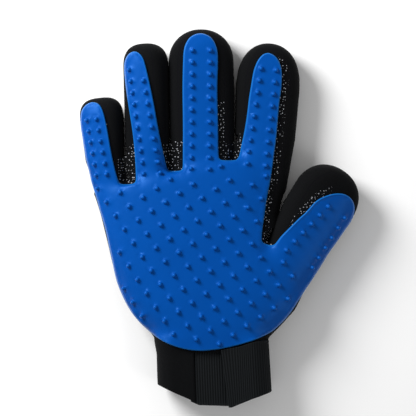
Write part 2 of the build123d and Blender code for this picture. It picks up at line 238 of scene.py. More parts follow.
# The outline of the rubber pad
def smooth_outline(points, spacing):
    """A closed outline rounded by corner cutting and divided evenly."""
    outline = np.array(points, float)
    for _ in range(3):
        following = np.roll(outline, -1, axis=0)
        cuts = [0.75 * outline + 0.25 * following, 0.25 * outline + 0.75 * following]
        outline = np.stack(cuts, 1).reshape(-1, 2)
    closed = np.vstack([outline, outline[:1]])
    steps = np.hypot(*np.diff(closed, axis=0).T)
    place = np.concatenate([[0], np.cumsum(steps)])
    count = int(place[-1] / spacing)
    wanted = np.linspace(0, place[-1], count, endpoint=False)
    return np.stack([np.interp(wanted, place, closed[:, k]) for k in (0, 1)], 1)


def distance_to(points, outline):
    """Distance from each point to a closed outline, and whether the point is inside."""
    a, b = outline, np.roll(outline, -1, axis=0)
    best = np.full(len(points), 1e9)
    inside = np.zeros(len(points), bool)
    for p, q in zip(a, b):
        d = q - p
        t = np.clip(((points - p) @ d) / (d @ d), 0, 1)
        best = np.minimum(best, np.hypot(*(points - p - t[:, None] * d).T))
        crosses = (p[1] > points[:, 1]) != (q[1] > points[:, 1])
        with np.errstate(divide="ignore", invalid="ignore"):
            cut = (q[0] - p[0]) * (points[:, 1] - p[1]) / (q[1] - p[1]) + p[0]
        inside ^= crosses & (points[:, 0] < cut)
    return best, inside


outline = smooth_outline(PAD, 0.9)
following = np.roll(outline, -1, axis=0)
area = 0.5 * np.sum(outline[:, 0] * following[:, 1] - following[:, 0] * outline[:, 1])
if area < 0:
    outline = outline[::-1]
tangent = np.roll(outline, -1, axis=0) - np.roll(outline, 1, axis=0)
tangent /= np.hypot(*tangent.T)[:, None]
inward = np.stack([-tangent[:, 1], tangent[:, 0]], 1)


# Cloth of the palm
def palm_ring(y, left, right, height):
    """One section of the palm, flatter underneath than on top."""
    ring = []
    middle, half = (left + right) / 2, (right - left) / 2
    for step in range(PALM_SIDES):
        angle = 2 * math.pi * step / PALM_SIDES
        across, up = math.cos(angle), math.sin(angle)
        x = middle + half * math.copysign(abs(across) ** 0.8, across)
        rise = abs(up) ** 0.85 if up >= 0 else -1.06 * abs(up) ** 0.55
        ring.append((x, y, max(0.0, height / 2 * (1 + rise))))
    return ring


def closed_tube(rings):
    """Points and faces of a tube with closed ends."""
    count = len(rings[0])
    points = [p for ring in rings for p in ring]
    faces = [face for k in range(len(rings) - 1) for face in bridge(k * count, (k + 1) * count, count)]
    faces.append(tuple(reversed(range(count))))
    faces.append(tuple(range((len(rings) - 1) * count, len(rings) * count)))
    return points, faces


def joined(parts):
    """The points and faces of several parts as one list of each."""
    points, faces = [], []
    for part_points, part_faces in parts:
        first = len(points)
        points += part_points
        faces += [tuple(first + k for k in face) for face in part_faces]
    return points, faces


def smoothstep(low, high, value):
    """Rises smoothly from 0 at low to 1 at high."""
    t = np.clip((value - low) / (high - low), 0, 1)
    return t * t * (3 - 2 * t)


def build_palm_cloth():
    """The palm and the roots of the fingers as one smooth sewn shell."""
    stations = np.array(PALM)
    ys = np.linspace(-90, 40, 66)
    rings = []
    for y in ys:
        left, right, height = (float(np.interp(y, stations[:, 0], stations[:, k])) for k in (1, 2, 3))
        ring = palm_ring(y, left, right, height)
        # the top end slopes down to the crotch of the little finger
        rings.append([(x, min(y, 21.5 + CROTCH_SLOPE * (x + 58) - 1.0), z) for x, _, z in ring])
    parts = [closed_tube(rings)]
    for f in FINGERS:
        back = -34 if f.name != "thumb" else -30
        root = tube(f, np.linspace(back, 4, 20), ROOT_SIDES)
        parts.append(closed_tube([[p for p, _ in ring] for ring in root]))
    points, faces = joined(parts)
    cloth = make_mesh("palm_cloth_source", points, faces)
    remesh = cloth.modifiers.new("remesh", "REMESH")
    remesh.mode, remesh.voxel_size, remesh.adaptivity = "VOXEL", 1.25 * MM, 0.0
    smooth = cloth.modifiers.new("smooth", "SMOOTH")
    smooth.factor, smooth.iterations = 0.5, 14
    graph = bpy.context.evaluated_depsgraph_get()
    mesh = bpy.data.meshes.new_from_object(cloth.evaluated_get(graph))
    bpy.data.objects.remove(cloth)
    bm = bmesh.new()
    bm.from_mesh(mesh)
    bm.normal_update()
    bmesh.ops.bisect_plane(
        bm, geom=bm.verts[:] + bm.edges[:] + bm.faces[:],
        plane_co=(0, PALM[0][0] * MM, 0), plane_no=(0, -1, 0), clear_outer=True,
    )
    for f in FINGERS:
        near = []
        for face in bm.faces:
            centre = face.calc_center_median() / MM
            along, aside = f.local(centre.x, centre.y)
            half, middle, _ = f.section(0)
            if -4 < along < 8 and abs(aside - middle) < half + 2.5:
                near.append(face)
        verts = list({v for face in near for v in face.verts})
        edges = list({e for face in near for e in face.edges})
        base = Vector((*f.base, 0)) * MM
        bmesh.ops.bisect_plane(
            bm, geom=verts + edges + near, plane_co=base, plane_no=(*f.ahead, 0), dist=1e-6
        )
        gone = []
        for face in bm.faces:
            centre = face.calc_center_median() / MM
            along, aside = f.local(centre.x, centre.y)
            half, middle, _ = f.section(0)
            if 0 < along < 9 and abs(aside - middle) < half + 2.5:
                gone.append(face)
        bmesh.ops.delete(bm, geom=gone, context="FACES")
    # the roots settle onto the exact shape of the finger stalls
    for v in bm.verts:
        for f in FINGERS:
            along, aside = f.local(v.co.x / MM, v.co.y / MM)
            half, middle, thick = f.section(min(along, 0))
            if -9 < along <= 0.2 and abs(aside - middle) < half + 3:
                across = (aside - middle) * math.cos(f.roll) - (v.co.z / MM - f.height) * math.sin(f.roll)
                up = (aside - middle) * math.sin(f.roll) + (v.co.z / MM - f.height) * math.cos(f.roll)
                size = (abs(across / half) ** 2.6 + abs(up / thick) ** 2.6) ** (1 / 2.6)
                if size < 0.7:
                    continue
                share = float(smoothstep(-9, -0.5, along)) * (1 / size - 1)
                across, up = across * (1 + share), up * (1 + share)
                aside = middle + across * math.cos(f.roll) + up * math.sin(f.roll)
                x, y = f.plan(along, aside)
                z = f.height + up * math.cos(f.roll) - across * math.sin(f.roll)
                v.co = Vector((x, y, max(0.0, z))) * MM
                break
    bmesh.ops.delete(bm, geom=[v for v in bm.verts if not v.link_faces], context="VERTS")
    bm.to_mesh(mesh)
    bm.free()
    return mesh


def palm_seam(x, y):
    """Distance in millimetres from the palm's seam, positive inside it."""
    stations = np.array(PALM)
    left, right = (np.interp(y, stations[:, 0], stations[:, k]) for k in (1, 2))
    best = min(x - left, right - x, 28.0 + CROTCH_SLOPE * (x + 29) - y) - SEAM
    for f in FINGERS:
        along, aside = f.local(x, y)
        half, middle, _ = f.section(min(along, 0))
        if -30 < along < 2:
            best = max(best, half - abs(aside - middle) - SEAM)
    return float(best)


def split_mesh(mesh, labels, normals, numbers, prefix=""):
    """One object per label, whose shared edges keep the whole surface's normals."""
    co = np.empty(len(mesh.vertices) * 3)
    mesh.vertices.foreach_get("co", co)
    co = co.reshape(-1, 3)
    faces = [tuple(p.vertices) for p in mesh.polygons]
    made = {}
    for label in sorted(set(labels)):
        if label is None:
            continue
        chosen = [face for face, name in zip(faces, labels) if name == label]
        used = sorted({v for face in chosen for v in face})
        number = {v: k for k, v in enumerate(used)}
        obj = make_mesh(
            prefix + label, co[used] / MM, [tuple(number[v] for v in face) for face in chosen],
            {key: np.asarray(values)[used] for key, values in numbers.items()},
        )
        obj.data.normals_split_custom_set_from_vertices([Vector(n) for n in normals[used]])
        made[label] = obj
    return made


def vertex_normals(mesh):
    """The normals of a mesh's points, one row each."""
    normals = np.empty(len(mesh.vertices) * 3)
    mesh.vertices.foreach_get("normal", normals)
    return normals.reshape(-1, 3)


def side_label(x, y):
    """Which gusset or web a place outside the palm's seam belongs to."""
    if y > 12 and -76 < x < 22:
        return "finger_webs"
    if x < -20:
        return "little_side_gusset"
    return "thumb_side_gusset" if y < -22 else "index_side_gusset"


palm_mesh = build_palm_cloth()
palm_normals = vertex_normals(palm_mesh)
palm_seams = [palm_seam(v.co.x / MM, v.co.y / MM) for v in palm_mesh.vertices]


def net_values(points, seams, normals, showing, crotch=None):
    """How far inside the open net each point lies: within the seams and near the rubber's edge."""
    away, under = distance_to(points, outline)
    near = np.where(under, 9.0, NET_WIDTH - away)
    values = np.minimum(np.array(seams), near)
    if crotch is not None:
        values = np.where(crotch & ~under, 11.0 - away, values)
    return np.where((normals[:, 2] > 0.05) & showing, values, -1.0 - np.abs(values))


palm_points = np.array([tuple(v.co) for v in palm_mesh.vertices])[:, :2] / MM
between_fingers = (palm_points[:, 1] > 14) & (palm_points[:, 0] > -68) & (palm_points[:, 0] < 24)
palm_net = net_values(palm_points, palm_seams, palm_normals, palm_points[:, 1] > -40, between_fingers)
labels = []
for polygon in palm_mesh.polygons:
    seam = np.mean([palm_seams[v] for v in polygon.vertices])
    x, y = polygon.center.x / MM, polygon.center.y / MM
    if seam <= 0:
        labels.append(side_label(x, y))
    else:
        labels.append("palm_mesh_panel" if polygon.normal.z > 0 else "hand_back_panel")
cloth = split_mesh(palm_mesh, labels, palm_normals, {"seam": palm_seams, "net": palm_net})
for name, obj in cloth.items():
    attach(obj, "palm")
    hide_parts(name)

# Cloth of the fingers
tube_meshes = []
for f in FINGERS:
    stations = list(np.linspace(-0.8, f.mid, max(8, round(f.mid / TUBE_STEP))))
    stations += list(np.linspace(f.mid, f.length - TIP, 14)[1:])
    stations += [f.length - TIP + TIP * math.sin(math.pi / 2 * step / 14) for step in range(1, 14)]
    stations.append(f.length - 0.02)
    rings = tube(f, stations, TUBE_SIDES)
    points = [p for ring in rings for p, _ in ring]
    edge = [e for ring in rings for _, e in ring]
    faces = []
    for k in range(len(rings) - 1):
        faces += bridge(k * TUBE_SIDES, (k + 1) * TUBE_SIDES, TUBE_SIDES)
    faces.append(tuple(range((len(rings) - 1) * TUBE_SIDES, len(rings) * TUBE_SIDES)))
    seams = [e - SEAM for e in edge]
    # round the tip the seam follows the outline
    for k, along in enumerate(stations):
        for place in range(k * TUBE_SIDES, (k + 1) * TUBE_SIDES):
            seams[place] = min(seams[place], f.length - along - SEAM * 0.8)
    whole = make_mesh(f.name + "_whole", points, faces)
    face_outwards(whole)
    normals = vertex_normals(whole.data)
    places = np.array([tuple(v.co) for v in whole.data.vertices])[:, :2] / MM
    along, aside = f.local(places[:, 0], places[:, 1])
    left_reach, right_reach = NET_REACH[f.name]
    showing = along < np.where(aside > f.section(0)[1], left_reach, right_reach)
    net = net_values(places, seams, normals, showing)
    labels = []
    for polygon in whole.data.polygons:
        centre = polygon.center / MM
        along, _ = f.local(centre.x, centre.y)
        side = "lower" if along < f.mid else "upper"
        seam = np.mean([seams[v] for v in polygon.vertices])
        if seam <= 0:
            part = "side_wall"
        else:
            part = "mesh_panel" if polygon.normal.z > 0 else "back_panel"
        labels.append(f"{f.name}_{side}_{part}")
    cloth.update(split_mesh(whole.data, labels, normals, {"seam": seams, "net": net}))
    tube_meshes.append(whole.data.copy())
    bpy.data.objects.remove(whole)


def bend(obj, f, side):
    """Bakes the piece's placement into its points; its span along the finger is worked out but not used."""
    first = 0 if side == "lower" else f.mid
    length = min(18.0, (f.mid if side == "lower" else f.length - f.mid) - 2)
    start, end = f.plan(first, 0), f.plan(first + length, 0)
    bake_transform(obj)


for f in FINGERS:
    for side in ("lower", "upper"):
        for part in ("mesh_panel", "back_panel", "side_wall"):
            name = f"{f.name}_{side}_{part}"
            bend(cloth[name], f, side)
            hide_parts(name)


# Cuff
(band_low, band_high) = (np.array(corner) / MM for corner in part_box("cuff_band"))
CUFF_X = (band_low[0] + band_high[0]) / 2
CUFF_W = (band_high[0] - band_low[0]) / 2
CUFF_T = band_high[2] - band_low[2]
CUFF_R, CUFF_TOP = 11.0, -84.0
CUFF_LENGTH = 32
EDGE_ROUND = 0.6  # how far from an end the rounding of a sheet reaches
# The cuff's lower rim as (X, Y)
RIM_LINE = [
    (-60, -104.4), (-39.8, -104.8), (-37.4, -105.6), (-14, -116.0),
    (4.6, -116.6), (31.0, -108.2), (33, -107.0), (60, -107),
]
FLAT, SIDE, ARC = CUFF_W - CUFF_R, CUFF_T - 2 * CUFF_R, CUFF_R * math.pi / 2
ROUND_TRIP = 4 * FLAT + 2 * SIDE + 4 * ARC


def ring_point(s, offset):
    """A point of the cuff's section: s runs from the middle of the palm side towards the thumb."""
    s = s % ROUND_TRIP
    top, bottom = CUFF_T + offset, -offset
    pieces = [
        ("line", FLAT, (0, top), (FLAT, top)),
        ("arc", ARC, (FLAT, CUFF_T - CUFF_R), 90),
        ("line", SIDE, (CUFF_W + offset, CUFF_T - CUFF_R), (CUFF_W + offset, CUFF_R)),
        ("arc", ARC, (FLAT, CUFF_R), 0),
        ("line", 2 * FLAT, (FLAT, bottom), (-FLAT, bottom)),
        ("arc", ARC, (-FLAT, CUFF_R), -90),
        ("line", SIDE, (-CUFF_W - offset, CUFF_R), (-CUFF_W - offset, CUFF_T - CUFF_R)),
        ("arc", ARC, (-FLAT, CUFF_T - CUFF_R), 180),
        ("line", FLAT, (-FLAT, top), (0, top)),
    ]
    for kind, length, a, b in pieces:
        if s <= length:
            share = min(1.0, s / length) if length > 0 else 0.0
            if kind == "line":
                return CUFF_X + a[0] + (b[0] - a[0]) * share, a[1] + (b[1] - a[1]) * share
            turn = math.radians(b - 90 * share)
            reach = CUFF_R + offset
            return CUFF_X + a[0] + reach * math.cos(turn), a[1] + reach * math.sin(turn)
        s -= length
    return CUFF_X, top


def rim_y(x):
    """Where the cuff's lower rim lies, from its X."""
    return float(np.interp(x, [p[0] for p in RIM_LINE], [p[1] for p in RIM_LINE]))


def slab_loop(high, low, rows):
    """The sheet's section along Y: (Y, level) where level is 0 inside and 1 outside, with rounded ends."""
    profile = [(0.0, 0.5), (0.0, 0.85), (0.35, 1.0)] + [(None, 1.0)] * rows
    profile += [(0.35, 1.0), (0.0, 0.85), (0.0, 0.5)]
    back = [(0.0, 0.15), (0.35, 0.0)] + [(None, 0.0)] * 4 + [(0.35, 0.0), (0.0, 0.15)]
    loop = []
    for k, (inset, level) in enumerate(profile):
        if inset is None:
            y = high - EDGE_ROUND + (low - high + 2 * EDGE_ROUND) * (k - 3) / (rows - 1)
        else:
            y = high - inset if k < 3 else low + inset
        loop.append((y, level))
    for k, (inset, level) in enumerate(back):
        if inset is None:
            y = low + EDGE_ROUND + (high - low - 2 * EDGE_ROUND) * (k - 2) / 3
        else:
            y = low + inset if k < 2 else high - inset
        loop.append((y, level))
    return loop


def slab(
    name, s_from, s_to, top, bottom, inner, outer,
    rib=0.0, pitch=1.5, closed=False, rows=26, drift=None, wave=0.0, flare=0.0,
):
    """A sheet of even thickness wrapped on the cuff's section, with optional ribs along Y."""
    columns = max(8, round((s_to - s_from) / (pitch / 8 if rib else 0.9)))
    params = np.linspace(s_from, s_to, columns, endpoint=not closed)
    points, faces, ribs = [], [], []
    for column, s in enumerate(params):
        edge = 1.0
        if not closed:
            near = min(s - s_from, s_to - s)
            edge = math.sqrt(max(0.0, 1 - (1 - min(1.0, near / 0.7)) ** 2)) * 0.5 + 0.5
            if column in (0, columns - 1):
                edge = 0.5
        x0, _ = ring_point(s, 0)
        high, low = top(x0), bottom(x0)
        ridge = 0.5 + 0.5 * math.cos(2 * math.pi * s / pitch)
        for y, level in slab_loop(high, low, rows):
            squeeze = 0.5 + (level - 0.5) * (2 * edge - 1)
            offset = inner + (outer - inner) * squeeze
            offset += flare * smoothstep(CUFF_TOP - 3, CUFF_TOP + 8, y)
            if level > 0.9:
                offset -= rib * (1 - ridge) * min(1.0, (high - y) / 1.5) * min(1.0, (y - low) / 1.5)
            x, z = ring_point(s, offset)
            along = (CUFF_TOP - y) / CUFF_LENGTH
            # a slack wave: sideways all round the cuff, and upwards on its palm side
            bulge = wave * math.sin(math.pi * min(1.0, max(0.0, along)))
            bulge *= 0.6 + 0.4 * math.sin(0.11 * s + 1.3)
            mx, mz = x - CUFF_X, z - CUFF_T / 2
            size = math.hypot(mx / CUFF_W, mz / (CUFF_T / 2))
            x += mx / CUFF_W / size * bulge
            if z > CUFF_T / 2:
                z += mz / (CUFF_T / 2) / size * bulge
            # the cuff leans towards the thumb, and its thumb side is pressed in
            x += 1.2 * along - 3.0 * smoothstep(8, 32, x) * (1 - 0.25 * along)
            if drift:
                x, z = drift(x, y, z)
            points.append((x, y, max(z, 0.0)))
            # the ridge value also goes to the ribbed material, which paints shade in the grooves and light
            # on the ridges
            ribs.append(ridge)
    size = len(points) // columns
    for column in range(columns if closed else columns - 1):
        a, b = column * size, ((column + 1) % columns) * size
        for k in range(size):
            m = (k + 1) % size
            faces.append((a + k, a + m, b + m, b + k))
    if not closed:
        faces.append(tuple(range(size)))
        faces.append(tuple(reversed(range((columns - 1) * size, columns * size))))
    # the cuff has no seam and no net, which these two numbers say to the cloth's material
    numbers = {"rib": ribs, "seam": [5.0] * len(points), "net": [-5.0] * len(points)}
    obj = make_mesh(name, points, faces, numbers)
    face_outwards(obj)
    return obj


def front_s(x):
    """The place on the section of a point on the palm side, from its X."""
    return x - CUFF_X


left_edge = ROUND_TRIP + front_s(-15.5)
band = slab(
    "cuff_band_cloth", front_s(9.0), left_edge, lambda x: -73.0, rim_y, -2.0, 0.1,
    wave=0.5, flare=1.2,
)
insert = slab(
    "elastic_insert_cloth", front_s(-19.0), front_s(12.0),
    lambda x: -76.0, lambda x: rim_y(x) - 1.0, -1.9, -0.55,
    rib=0.35, pitch=1.55, wave=0.5, flare=1.2,
)
hem = slab(
    "cuff_hem_cloth", 0, ROUND_TRIP,
    lambda x: rim_y(x) + 8.0, lambda x: rim_y(x) + 0.5, -3.2, -2.1,
    closed=True, rows=8, wave=0.3,
)
lining = slab(
    "cuff_lining_cloth", 0, ROUND_TRIP,
    lambda x: -60.0, lambda x: rim_y(x) + 3.0, -2.9, -2.05,
    closed=True, rows=16,
)
for obj, replaced in ((band, "cuff_band"), (insert, "cuff_elastic_insert"), (hem, "cuff_hem")):
    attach(obj, "palm")
    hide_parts(replaced)
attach(lining, "palm")

(tab_low, tab_high) = (np.array(corner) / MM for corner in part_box("strap_webbing"))
tab_offset = tab_high[2] - CUFF_T
tab_s_end = FLAT + ARC + (CUFF_T - CUFF_R) - tab_low[2] - 0.05


def tab_bottom(x):
    """The strap's lower edge."""
    return float(np.interp(x, [0, 5.4, 6.2, 33.5], [-118.2, -118.2, -118.0, -108.4]))


def tab_top(x):
    """The strap ends just short of the rubber."""
    return float(np.interp(x, [0, 4, 13, 20, 25, 30], [-83.4, -82.3, -80.3, -78.4, -77.2, -76.8]))


def slanted_end(x, y, z):
    """The strap's free end runs at a slant."""
    if x > 12:
        return x, z
    return x + (12 - x) / 9 * (-2.2 + 3.6 * (CUFF_TOP - y) / 34), z


strap = slab(
    "strap_webbing_cloth", front_s(3.2), tab_s_end, tab_top, tab_bottom, tab_offset - 1.5, tab_offset,
    rib=0.28, pitch=1.5, drift=slanted_end,
)
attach(strap, "strap")
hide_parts("strap_webbing")
anchor_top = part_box("strap_anchor")[1][2] / MM
anchor = slab(
    "strap_anchor_cloth", FLAT + ARC + (CUFF_T - CUFF_R) - anchor_top, FLAT + ARC + SIDE + ARC * 0.5,
    lambda x: -84.9, lambda x: tab_bottom(x) + 0.3, 0.15, 1.6, rib=0.28, pitch=1.5,
)
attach(anchor, "palm")
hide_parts("strap_anchor")


# Rubber pad: two columns of nubs on each finger, and one turned lattice on the palm
nub_spots = []
for f in FINGERS:
    last, pitch, count, lanes = ROWS[f.name]
    for base_lane, tip_lane in lanes:
        for row in range(count):
            along = last - pitch * row
            aside = base_lane + (tip_lane - base_lane) * along / last
            nub_spots.append(f.plan(along, aside))
row_spots = np.array(nub_spots)
angle = math.radians(NUB_ANGLE)
for column in range(-14, 15):
    for row in range(-14, 15):
        step = np.array([column * NUB_PITCH, row * NUB_PITCH])
        spot = np.array(NUB_START) + [
            step[0] * math.cos(angle) - step[1] * math.sin(angle),
            step[0] * math.sin(angle) + step[1] * math.cos(angle),
        ]
        on_strip = False
        for f in FINGERS:
            along, aside = f.local(*spot)
            half, middle, _ = f.section(0)
            on_strip |= along > -3 and abs(aside - middle) < half + 3
        if not on_strip and np.min(np.hypot(*(row_spots - spot).T)) > NUB_CLEAR_OF_ROWS:
            nub_spots.append(spot)
nub_spots = np.array(nub_spots)
edge_distance, inside = distance_to(nub_spots, outline)
nub_spots = nub_spots[inside & (edge_distance > NUB_CLEAR_OF_EDGE)]

# Rings along the edge: inset and height over the cloth
RIM = [(0.0, -0.6), (0.0, 0.7), (0.1, 1.2), (0.3, 1.62), (0.6, 1.86), (0.85, 1.88), (1.1, RUBBER)]
NUB_SIDES, NUB_FOOT, NUB_TIP = 16, 1.75, 2.34
# A nub's rings: radius and height over the pad
NUB = [(1.62, 0.12), (1.42, 0.42), (1.3, 0.9), (1.2, 1.45), (1.05, 1.85), (0.78, 2.12), (0.42, 2.28)]
rim_points = [outline + inward * inset for inset, _ in RIM]
inner = rim_points[-1]
plan_points = [tuple(p) for p in inner]
edges = [(k, (k + 1) % len(inner)) for k in range(len(inner))]
feet = []
for spot in nub_spots:
    first = len(plan_points)
    feet.append(first)
    for step in range(NUB_SIDES):
        turn = 2 * math.pi * step / NUB_SIDES
        plan_points.append((spot[0] + NUB_FOOT * math.cos(turn), spot[1] + NUB_FOOT * math.sin(turn)))
        edges.append((first + step, first + (step + 1) % NUB_SIDES))
spacing = 1.7
grid = []
low, high = outline.min(axis=0), outline.max(axis=0)
for row, y in enumerate(np.arange(low[1], high[1], spacing * 0.866)):
    for x in np.arange(low[0] + (row % 2) * spacing / 2, high[0], spacing):
        grid.append((x, y))
grid = np.array(grid)
edge_distance, inside = distance_to(grid, outline)
grid = grid[inside & (edge_distance > RIM[-1][0] + 0.8)]
clear = np.ones(len(grid), bool)
for spot in nub_spots:
    clear &= np.hypot(*(grid - spot).T) > NUB_FOOT + 0.75
plan_points += [tuple(p) for p in grid[clear]]
result = delaunay_2d_cdt([Vector(p) for p in plan_points], edges, [], 0, 1e-6)
flat_points = np.array([tuple(v) for v in result[0]])
flat_faces = [tuple(face) for face in result[2]]
centres = np.array([flat_points[list(face)].mean(axis=0) for face in flat_faces])
_, within = distance_to(centres, inner)
for spot in nub_spots:
    within &= np.hypot(*(centres - spot).T) > NUB_FOOT * math.cos(math.pi / NUB_SIDES) * 0.93
flat_faces = [face for face, keep in zip(flat_faces, within) if keep]
source = {}
for new, olds in enumerate(result[3]):
    for old in olds:
        source[old] = new

# The pad lies on the cloth: its heights come from rays cast down on it
RAY_FROM = 0.2  # metres, well above the glove
STEEP = 0.3  # a slope's upward share under which cloth counts as a side
SAG = 0.35  # how much lower each step past the cloth's edge lies
SINK = 0.7  # how far smoothing may press the sheet into the cloth
trees = []
for mesh in [palm_mesh, band.data, insert.data] + tube_meshes:
    corners = [v.co for v in mesh.vertices]
    trees.append(BVHTree.FromPolygons(corners, [tuple(p.vertices) for p in mesh.polygons]))


def cloth_height(x, y):
    """The highest cloth under a place of the plan, or None past the cloth or on its steep side."""
    best, slope = None, None
    for tree in trees:
        hit, normal, _, _ = tree.ray_cast(Vector((x * MM, y * MM, RAY_FROM)), Vector((0, 0, -1)))
        if hit is not None and (best is None or hit.z > best):
            best, slope = hit.z, abs(normal.z)
    return None if best is None or slope < STEEP else best / MM


# Every point of the sheet: the flat part first, then the rim's outer rings
sheet_xy = [tuple(p) for p in flat_points]
rim_index = []
for ring in rim_points[:-1]:
    rim_index.append(list(range(len(sheet_xy), len(sheet_xy) + len(ring))))
    sheet_xy += [tuple(p) for p in ring]
rim_index.append([source[k] for k in range(len(inner))])
faces = list(flat_faces)
for outer, next_ring in zip(rim_index, rim_index[1:]):
    for k in range(len(outer)):
        m = (k + 1) % len(outer)
        faces.append((outer[k], outer[m], next_ring[m], next_ring[k]))
sheet_xy = np.array(sheet_xy)
raw = [cloth_height(x, y) for x, y in sheet_xy]
known = np.array([h is not None for h in raw])
heights = np.array([h if h is not None else 0.0 for h in raw])
neighbours = [set() for _ in sheet_xy]
for face in faces:
    for a, b in zip(face, face[1:] + face[:1]):
        neighbours[a].add(b)
        neighbours[b].add(a)
neighbours = [list(n) for n in neighbours]
# Points past the cloth take their height from their neighbours, a little lower at each step
pending = [k for k in range(len(sheet_xy)) if not known[k]]
while pending:
    later = []
    settled = []
    for k in pending:
        near = [n for n in neighbours[k] if known[n]]
        if near:
            settled.append((k, float(np.mean([heights[n] for n in near])) - SAG))
        else:
            later.append(k)
    if not settled:
        break
    for k, h in settled:
        heights[k], known[k] = h, True
    pending = later
# The sheet is smoothed, but never sinks far into the cloth
floor_heights = np.array([h - SINK if h is not None else -9.0 for h in raw])
pairs = np.array([(k, n) for k, near in enumerate(neighbours) for n in near])
count_near = np.bincount(pairs[:, 0], minlength=len(sheet_xy))
for _ in range(10):
    total = np.bincount(pairs[:, 0], weights=heights[pairs[:, 1]], minlength=len(sheet_xy))
    heights = 0.5 * heights + 0.5 * total / np.maximum(count_near, 1)
    heights = np.maximum(heights, floor_heights)

lift = np.full(len(sheet_xy), RUBBER)
for (_, rise), indices in zip(RIM, rim_index):
    lift[indices] = rise
# the rim's outer rings get a lighter blue, fading over its first millimetre: a painted highlight along the
# pad's edge
rim_highlight = np.full(len(sheet_xy), 0.0)
for (inset, _), indices in zip(RIM, rim_index):
    rim_highlight[indices] = max(0.0, 1 - inset / 1.0)
points = [(x, y, h + up) for (x, y), h, up in zip(sheet_xy, heights, lift)]
# the tip number rises up each nub and makes its blue lighter towards the tip: a painted highlight
tip_highlight = [0.0] * len(points)
rim_highlight = list(rim_highlight)

# Nubs grow out of the sheet along its own normal
sheet_array = np.array(points)
for spot, first in zip(nub_spots, feet):
    foot = [source[first + step] for step in range(NUB_SIDES)]
    ring = sheet_array[foot]
    centre = ring.mean(axis=0)
    normal = np.zeros(3)
    for a, b in zip(ring, np.roll(ring, -1, axis=0)):
        normal += np.cross(a - centre, b - centre)
    normal /= np.linalg.norm(normal)
    previous = foot
    for radius, rise in NUB:
        start = len(points)
        for p in ring:
            flat = (p - centre) - normal * np.dot(p - centre, normal)
            points.append(tuple(centre + flat / np.linalg.norm(flat) * radius + normal * rise))
            tip_highlight.append(min(1.0, rise / NUB[-1][1]))
            rim_highlight.append(0.0)
        current = list(range(start, start + NUB_SIDES))
        for k in range(NUB_SIDES):
            m = (k + 1) % NUB_SIDES
            faces.append((previous[k], previous[m], current[m], current[k]))
        previous = current
    points.append(tuple(centre + normal * NUB_TIP))
    tip_highlight.append(1.0)
    rim_highlight.append(0.0)
    for k in range(NUB_SIDES):
        faces.append((previous[k], previous[(k + 1) % NUB_SIDES], len(points) - 1))

numbers = {"rim": rim_highlight, "tip": tip_highlight}
whole = make_mesh("pad_whole", points, faces, numbers)
face_outwards(whole)
if sum(p.normal.z for p in whole.data.polygons) < 0:
    whole.data.flip_normals()
labels = []
for polygon in whole.data.polygons:
    x, y = polygon.center.x / MM, polygon.center.y / MM
    label = "palm_rubber_pad"
    for f in FINGERS:
        along, aside = f.local(x, y)
        half, middle, _ = f.section(max(along, 0))
        if along > 0 and abs(aside - middle) < half + 3:
            label = f"{f.name}_{'lower' if along < f.mid else 'upper'}_rubber_strip"
    labels.append(label)
rubber = split_mesh(whole.data, labels, vertex_normals(whole.data), numbers)
bpy.data.objects.remove(whole)
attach(rubber["palm_rubber_pad"], "palm")
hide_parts("palm_rubber_pad")
for f in FINGERS:
    for side in ("lower", "upper"):
        name = f"{f.name}_{side}_rubber_strip"
        bend(rubber[name], f, side)
        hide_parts(name)


# Materials
def tree_of(name):
    """A new material with its nodes, links and shader."""
    material = bpy.data.materials.new(name)
    material.use_nodes = True
    nodes, links = material.node_tree.nodes, material.node_tree.links
    return material, nodes, links, nodes["Principled BSDF"]


def node(nodes, kind, **values):
    """A new node with settings or input values by name."""
    made = nodes.new(kind)
    for key, value in values.items():
        if hasattr(made, key):
            setattr(made, key, value)
        else:
            made.inputs[key].default_value = value
    return made


def attribute(nodes, name):
    """One of the numbers that make_mesh put on the points."""
    made = nodes.new("ShaderNodeAttribute")
    made.attribute_name = name
    return made.outputs["Fac"]


def math_node(nodes, links, operation, first, second=None, third=None):
    """The result of a sum on numbers or sockets."""
    made = nodes.new("ShaderNodeMath")
    made.operation = operation
    for k, value in enumerate((first, second, third)):
        if value is None:
            continue
        if isinstance(value, (int, float)):
            made.inputs[k].default_value = value
        else:
            links.new(value, made.inputs[k])
    return made.outputs[0]


def mix_colours(nodes, links, factor, first, second):
    """A colour between two, each a value or a socket."""
    made = nodes.new("ShaderNodeMix")
    made.data_type = "RGBA"
    for socket, value in ((made.inputs[0], factor), (made.inputs[6], first), (made.inputs[7], second)):
        if isinstance(value, (int, float, tuple)):
            socket.default_value = value
        else:
            links.new(value, socket)
    return made.outputs[2]


